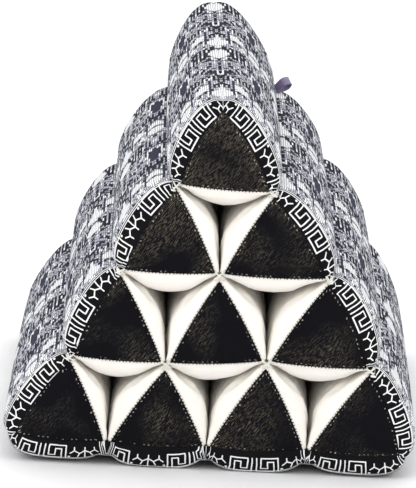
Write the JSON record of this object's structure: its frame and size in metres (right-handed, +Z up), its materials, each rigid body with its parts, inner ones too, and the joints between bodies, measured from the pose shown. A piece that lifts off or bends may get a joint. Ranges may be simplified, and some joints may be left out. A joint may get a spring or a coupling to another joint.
{
  "type": "thai triangle cushion",
  "caption": "Triangular stacked floor cushion of stuffed tubes with printed flanks, black end panels, cream channel walls and a small satin loop tag.",
  "frame": {"origin": "centre of the footprint, on the floor", "axes": "+Z up, +X across the stack of tubes as seen from the front, +Y from the front end along the tubes to the back end"},
  "size_m": [0.3745, 0.501, 0.347],
  "materials": {
    "cream_cotton": "matt cream cotton",
    "black_cotton": "matt black cotton with faint dusty weave",
    "printed_cotton": "matt cotton with a woven-look pattern in black, slate and off-white",
    "base_cotton": "matt black cotton with a key border along its two end edges",
    "purple_satin": "purple satin ribbon"
  },
  "bodies": {
    "root": {"tube_1_1": "cream_cotton", "tube_2_1": "cream_cotton", "tube_2_2": "cream_cotton", "tube_3_1": "cream_cotton", "tube_3_2": "cream_cotton", "tube_3_3": "cream_cotton", "tube_4_1": "cream_cotton", "tube_4_2": "cream_cotton", "tube_4_3": "cream_cotton", "tube_4_4": "cream_cotton", "panel_front_1_1": "black_cotton", "panel_front_2_1": "black_cotton", "panel_front_2_2": "black_cotton", "panel_front_3_1": "black_cotton", "panel_front_3_2": "black_cotton", "panel_front_3_3": "black_cotton", "panel_front_4_1": "black_cotton", "panel_front_4_2": "black_cotton", "panel_front_4_3": "black_cotton", "panel_front_4_4": "black_cotton", "panel_back_1_1": "black_cotton", "panel_back_2_1": "black_cotton", "panel_back_2_2": "black_cotton", "panel_back_3_1": "black_cotton", "panel_back_3_2": "black_cotton", "panel_back_3_3": "black_cotton", "panel_back_4_1": "black_cotton", "panel_back_4_2": "black_cotton", "panel_back_4_3": "black_cotton", "panel_back_4_4": "black_cotton", "cover": "printed_cotton", "base": "base_cotton", "loop_tag": "purple_satin"}
  },
  "joints": []
}
